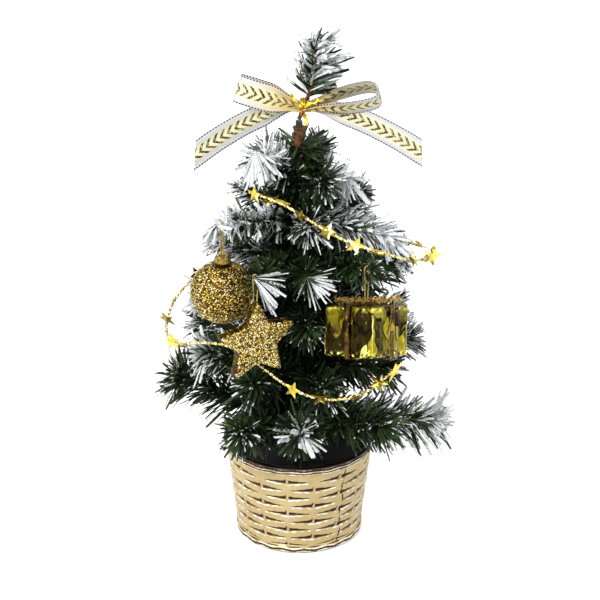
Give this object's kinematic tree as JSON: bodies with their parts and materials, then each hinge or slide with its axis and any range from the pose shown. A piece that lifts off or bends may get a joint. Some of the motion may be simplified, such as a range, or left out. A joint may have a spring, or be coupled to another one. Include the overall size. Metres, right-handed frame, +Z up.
{
  "type": "artificial tabletop tree",
  "caption": "Small artificial tree in a woven-look pot, with brush branches in tiers, a ribbon bow, a glitter ball and star, a foil gift and a star garland.",
  "frame": {"origin": "centre of the pot's flat bottom", "axes": "+Z up the trunk, -Y towards the front with the glitter star, +X to the right seen from the front"},
  "size_m": [0.1645, 0.157, 0.3001],
  "materials": {
    "pot_gold": "satin",
    "ballast": "matte",
    "wire": "satin",
    "tape": "matte",
    "needles": "satin",
    "ribbon": "satin",
    "tie_gold": "gloss",
    "glitter_gold": "satin",
    "cap_gold": "gloss",
    "thread": "satin",
    "glitter_board": "satin",
    "foam": "matte",
    "foil_gold": "polished",
    "ribbon_foil": "gloss",
    "tinsel": "gloss",
    "garland_gold": "gloss",
    "star_foil": "polished"
  },
  "bodies": {
    "tree": {"bow_loops": "ribbon", "bow_tails": "ribbon", "bow_tie": "tie_gold", "branch_crown_1": "needles", "branch_crown_2": "needles", "branch_crown_3": "needles", "branch_crown_4": "needles", "branch_high_1": "needles", "branch_high_2": "needles", "branch_high_3": "needles", "branch_high_4": "needles", "branch_low_5": "needles", "branch_low_6": "needles", "branch_low_7": "needles", "branch_middle_1": "needles", "branch_middle_2": "needles", "branch_middle_6": "needles", "branch_skirt_3": "needles", "branch_skirt_4": "needles", "branch_skirt_5": "needles", "branch_upper_1": "needles", "branch_upper_2": "needles", "branch_upper_3": "needles", "branch_upper_4": "needles", "garland_cord": "garland_gold", "garland_stars": "star_foil", "leader_brush": "needles", "leader_wire": "wire", "pot_ballast": "ballast", "pot_shell": "pot_gold", "trunk_pole": "wire", "trunk_tape": "tape"},
    "ball": {"ball": "glitter_gold", "ball_cap": "cap_gold", "ball_thread": "thread"},
    "star": {"glitter_star": "glitter_board", "star_thread": "thread"},
    "gift": {"gift_block": "foam", "gift_foil": "foil_gold", "gift_ribbon": "ribbon_foil", "gift_tinsel": "tinsel", "gift_thread": "thread"},
    "branch_skirt_1": {"branch_skirt_1": "needles"},
    "branch_skirt_2": {"branch_skirt_2": "needles"},
    "branch_skirt_6": {"branch_skirt_6": "needles"},
    "branch_skirt_7": {"branch_skirt_7": "needles"},
    "branch_low_1": {"branch_low_1": "needles"},
    "branch_low_2": {"branch_low_2": "needles"},
    "branch_low_3": {"branch_low_3": "needles"},
    "branch_low_4": {"branch_low_4": "needles"},
    "branch_low_8": {"branch_low_8": "needles"},
    "branch_middle_3": {"branch_middle_3": "needles"},
    "branch_middle_4": {"branch_middle_4": "needles"},
    "branch_middle_5": {"branch_middle_5": "needles"},
    "branch_upper_5": {"branch_upper_5": "needles"},
    "branch_upper_6": {"branch_upper_6": "needles"},
    "branch_upper_7": {"branch_upper_7": "needles"},
    "branch_high_5": {"branch_high_5": "needles"},
    "branch_high_6": {"branch_high_6": "needles"},
    "branch_crown_5": {"branch_crown_5": "needles"}
  },
  "joints": [
    {"name": "swing_ball", "type": "hinge", "parent": "tree", "child": "ball", "pos_m": [-0.04091, -0.03556, 0.2024], "axis": [-0.7547, -0.6561, 0], "range_deg": [-10, 4]},
    {"name": "swing_star", "type": "hinge", "parent": "tree", "child": "star", "pos_m": [-0.02257, -0.05879, 0.18254], "axis": [-0.3584, -0.9336, 0], "range_deg": [-6, 8]},
    {"name": "swing_gift", "type": "hinge", "parent": "tree", "child": "gift", "pos_m": [0.03657, -0.04853, 0.18296], "axis": [0.6018, -0.7986, 0], "range_deg": [-8, 5]},
    {"name": "bend_skirt_1", "type": "hinge", "parent": "tree", "child": "branch_skirt_1", "pos_m": [0.00516, -0.00119, 0.072], "axis": [-0.225, -0.9744, 0], "range_deg": [-8, 10]},
    {"name": "bend_skirt_2", "type": "hinge", "parent": "tree", "child": "branch_skirt_2", "pos_m": [0.00355, -0.00394, 0.072], "axis": [-0.7431, -0.6691, 0], "range_deg": [-8, 8]},
    {"name": "bend_skirt_6", "type": "hinge", "parent": "tree", "child": "branch_skirt_6", "pos_m": [-0.00368, 0.00381, 0.072], "axis": [0.7193, 0.6947, 0], "range_deg": [-8, 12]},
    {"name": "bend_skirt_7", "type": "hinge", "parent": "tree", "child": "branch_skirt_7", "pos_m": [0.00198, 0.00491, 0.072], "axis": [0.9272, -0.3746, 0], "range_deg": [-8, 8]},
    {"name": "bend_low_1", "type": "hinge", "parent": "tree", "child": "branch_low_1", "pos_m": [0.00527, 0.00055, 0.104], "axis": [0.1045, -0.9945, 0], "range_deg": [-8, 12]},
    {"name": "bend_low_2", "type": "hinge", "parent": "tree", "child": "branch_low_2", "pos_m": [0.00296, 0.00439, 0.104], "axis": [0.829, -0.5592, 0], "range_deg": [-8, 12]},
    {"name": "bend_low_3", "type": "hinge", "parent": "tree", "child": "branch_low_3", "pos_m": [-0.00128, 0.00514, 0.104], "axis": [0.9703, 0.2419, 0], "range_deg": [-8, 12]},
    {"name": "bend_low_4", "type": "hinge", "parent": "tree", "child": "branch_low_4", "pos_m": [-0.00468, 0.00249, 0.104], "axis": [0.4695, 0.8829, 0], "range_deg": [-8, 12]},
    {"name": "bend_low_8", "type": "hinge", "parent": "tree", "child": "branch_low_8", "pos_m": [0.00459, -0.00265, 0.104], "axis": [-0.5, -0.866, 0], "range_deg": [-8, 12]},
    {"name": "bend_middle_3", "type": "hinge", "parent": "tree", "child": "branch_middle_3", "pos_m": [0.0011, 0.00518, 0.136], "axis": [0.9781, -0.2079, 0], "range_deg": [-8, 12]},
    {"name": "bend_middle_4", "type": "hinge", "parent": "tree", "child": "branch_middle_4", "pos_m": [-0.00326, 0.00418, 0.136], "axis": [0.788, 0.6157, 0], "range_deg": [-8, 10]},
    {"name": "bend_middle_5", "type": "hinge", "parent": "tree", "child": "branch_middle_5", "pos_m": [-0.00529, 0.00037, 0.136], "axis": [0.0698, 0.9976, 0], "range_deg": [-8, 12]},
    {"name": "bend_upper_5", "type": "hinge", "parent": "tree", "child": "branch_upper_5", "pos_m": [0.00326, 0.00418, 0.166], "axis": [0.788, -0.6157, 0], "range_deg": [-8, 12]},
    {"name": "bend_upper_6", "type": "hinge", "parent": "tree", "child": "branch_upper_6", "pos_m": [-0.00198, 0.00491, 0.166], "axis": [0.9272, 0.3746, 0], "range_deg": [-8, 12]},
    {"name": "bend_upper_7", "type": "hinge", "parent": "tree", "child": "branch_upper_7", "pos_m": [-0.0053, 0, 0.166], "axis": [0, 1, 0], "range_deg": [-8, 12]},
    {"name": "bend_high_5", "type": "hinge", "parent": "tree", "child": "branch_high_5", "pos_m": [0.00018, 0.0053, 0.192], "axis": [0.9994, -0.0349, 0], "range_deg": [-8, 12]},
    {"name": "bend_high_6", "type": "hinge", "parent": "tree", "child": "branch_high_6", "pos_m": [-0.00468, 0.00249, 0.192], "axis": [0.4695, 0.8829, 0], "range_deg": [-8, 12]},
    {"name": "bend_crown_5", "type": "hinge", "parent": "tree", "child": "branch_crown_5", "pos_m": [-0.00406, 0.00341, 0.216], "axis": [0.6428, 0.766, 0], "range_deg": [-8, 12]}
  ]
}
